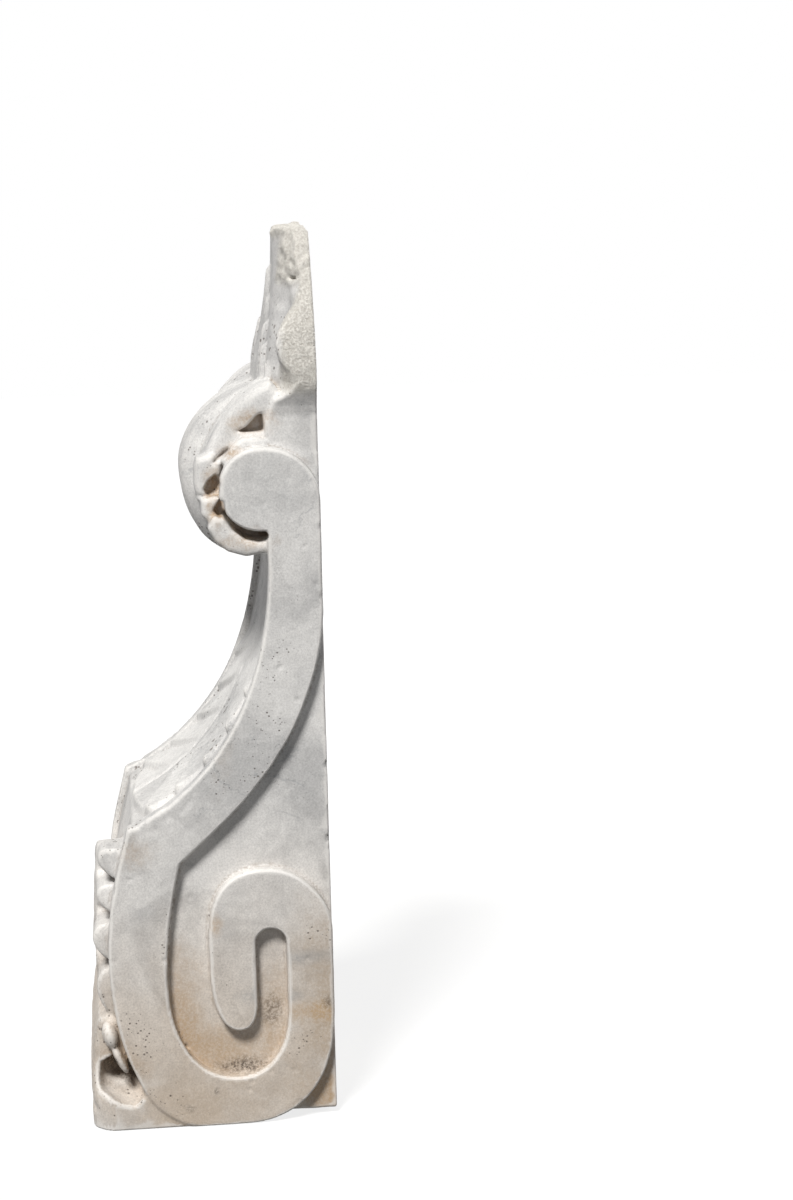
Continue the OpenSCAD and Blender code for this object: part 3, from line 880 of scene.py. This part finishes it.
def marble_material():
    """Weathered white marble: mottled, warm at the foot, dirty and rusty in its hollows, with painted shade
    in its hollows and under the curl and painted highlights on its edges.
    """
    mottle = node_group("Marble mottling", [("Position", "Vector"), ("Size", "Float"), ("Pale", "Color"),
                                            ("Cloud", "Color"), ("Vein", "Color"), ("Veins", "Float")],
                        [("Color", "Color")], build_mottle)
    specks = node_group("Dark specks", [("Position", "Vector"), ("Scale", "Float"), ("Radius", "Float")],
                        [("Mask", "Float")], build_specks)
    spot = node_group("Stain and shade patch", [("Position", "Vector"), ("Centre", "Vector"), ("Radii", "Vector"),
                                      ("Scale", "Float"), ("Ragged", "Float"), ("Speckle", "Float")],
                      [("Mask", "Float")], build_spot)
    material = bpy.data.materials.new("Weathered marble")
    material.use_nodes = True
    tree = material.node_tree
    n = Nodes(tree)
    shader = tree.nodes["Principled BSDF"]
    place = n.add("ShaderNodeTexCoord").outputs["Object"]
    rough, near, wide = (n.add("ShaderNodeAttribute", attribute_name=mark).outputs["Fac"]
                         for mark in ("rough", "hollow_near", "hollow_wide"))
    height = n.add("ShaderNodeSeparateXYZ", {0: place}).outputs["Z"]

    body = n.group(mottle, "Color", Position=place, Size=13.0, Pale=PALE, Cloud=CLOUD, Vein=VEIN, Veins=0.55)
    foot = n.ramp(height, low.z + 0.33, low.z - 0.02)
    warm = n.math("MULTIPLY", foot, n.ramp(n.noise(place, 7.0, 4), 0.15, 0.55))
    colour = n.tint(body, warm, 0.80, WARM)
    crystals = n.noise(place, 560.0, 4, 0.75)
    colour = grained(n, place, crystals, colour)
    clouds = n.noise(place, 34.0, 6, 0.65)
    # Dirt and painted shade: darker and browner where the surface lies in a near hollow
    grime_and_shade = n.math("MULTIPLY", n.ramp(near, 0.56, 0.78), n.ramp(clouds, 0.24, 0.60))
    colour = n.tint(colour, grime_and_shade, 0.68, GRIME_AND_SHADE)
    # Dirt and painted shade: darker and browner where the surface lies deep in a wide hollow
    deep_grime_and_shade = n.math("MULTIPLY", n.ramp(wide, 0.60, 0.84), n.ramp(clouds, 0.30, 0.66))
    colour = n.tint(colour, deep_grime_and_shade, 0.42, DEEP_GRIME_AND_SHADE)
    for centre, radii, tone, strength, scale in STAIN_AND_SHADE_PATCHES:
        grown = [radius * PATCH_GROWTH / MM for radius in radii]
        mask = n.group(spot, "Mask", Position=place, Centre=stone_point(*centre), Radii=grown, Scale=scale,
                       Ragged=1.5, Speckle=0.85 if tone is SOOT_AND_SHADE else 0.45)
        colour = n.tint(colour, mask, strength, tone)
    # Lighter on convex edges: wear, and painted highlight on the arrises
    colour = n.tint(colour, n.ramp(near, 0.46, 0.34), 0.55, WORN_AND_HIGHLIGHT)
    fine = n.group(specks, "Mask", Position=place, Scale=260.0, Radius=0.46)
    coarse = n.group(specks, "Mask", Position=place, Scale=70.0, Radius=0.24)
    dots = n.math("MAXIMUM", fine, coarse)
    colour = n.tint(colour, dots, 0.75, SPECK)
    crumbs = n.ramp(n.noise(place, 560.0, 5, 0.8), 0.36, 0.56)
    between = n.math("MULTIPLY", rough, n.math("SUBTRACT", 1.0, crumbs))
    colour = n.tint(colour, rough, 0.75, BROKEN)
    colour = n.tint(colour, between, 0.30, CRUMB)
    # Relief too fine for the mesh
    lumps = n.noise(place, 120.0, 6, 0.7)
    level = n.math("ADD", n.math("MULTIPLY", lumps, 0.9), n.math("MULTIPLY", crystals, 0.25))
    level = n.math("SUBTRACT", level, n.math("MULTIPLY", dots, 0.9))
    level = n.math("ADD", level, n.math("MULTIPLY", n.math("MULTIPLY", crumbs, rough), 1.6))
    bump = n.add("ShaderNodeBump", {"Strength": 0.55, "Distance": 0.0009, "Height": level})
    n.feed(shader.inputs["Base Color"], colour)
    n.feed(shader.inputs["Roughness"], n.ramp(grime_and_shade, 0.0, 1.0, 0.56, 0.82))
    n.feed(shader.inputs["Normal"], bump.outputs["Normal"])
    shader.inputs["Specular IOR Level"].default_value = 0.38
    return material


def set_world():
    """Plain low light all round; what the camera sees behind the stone is white."""
    world = bpy.data.worlds.new("White room")
    world.use_nodes = True
    bpy.context.scene.world = world
    n = Nodes(world.node_tree)
    world.node_tree.nodes.clear()
    room = n.add("ShaderNodeBackground", {"Color": (0.93, 0.95, 1.0, 1), "Strength": 0.05})
    white = n.add("ShaderNodeBackground", {"Color": (1, 1, 1, 1), "Strength": 1.0})
    blend = n.add("ShaderNodeMixShader", {0: n.seen(), 1: room.outputs[0], 2: white.outputs[0]})
    out = n.add("ShaderNodeOutputWorld")
    n.feed(out.inputs["Surface"], blend.outputs[0])


def lay_floor():
    """A white floor that keeps the stone's shadow."""
    mesh = bpy.data.meshes.new("Floor")
    reach = 6.0
    mesh.from_pydata([(-reach, -reach, low.z), (reach, -reach, low.z), (reach, reach, low.z),
                      (-reach, reach, low.z)], [], [(0, 1, 2, 3)])
    floor = bpy.data.objects.new("Floor", mesh)
    bpy.context.scene.collection.objects.link(floor)
    mesh.materials.append(floor_material())


def floor_material():
    """White to the camera apart from the shadow, and plain grey to the stone above it."""
    material = bpy.data.materials.new("White floor")
    material.use_nodes = True
    n = Nodes(material.node_tree)
    material.node_tree.nodes.clear()
    glow = n.add("ShaderNodeEmission", {"Color": (1, 1, 1, 1), "Strength": 0.80})
    shaded = n.add("ShaderNodeBsdfDiffuse", {"Color": (0.24, 0.24, 0.24, 1)})
    white = n.add("ShaderNodeAddShader", {0: glow.outputs[0], 1: shaded.outputs[0]})
    grey = n.add("ShaderNodeBsdfDiffuse", {"Color": (0.16, 0.16, 0.16, 1)})
    blend = n.add("ShaderNodeMixShader", {0: n.seen(), 1: grey.outputs[0], 2: white.outputs[0]})
    out = n.add("ShaderNodeOutputMaterial")
    n.feed(out.inputs["Surface"], blend.outputs[0])
    return material


def main():
    """Carves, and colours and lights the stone."""
    scene = bpy.context.scene
    set_camera()
    scene.view_settings.view_transform = "Standard"
    block = carve()
    stone = mesh_of(block, "carved_corbel")
    mark_surface(block, stone)
    stone.data.materials.append(marble_material())
    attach(stone, "root")
    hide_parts("corbel")
    set_lights()
    set_world()
    lay_floor()


main()
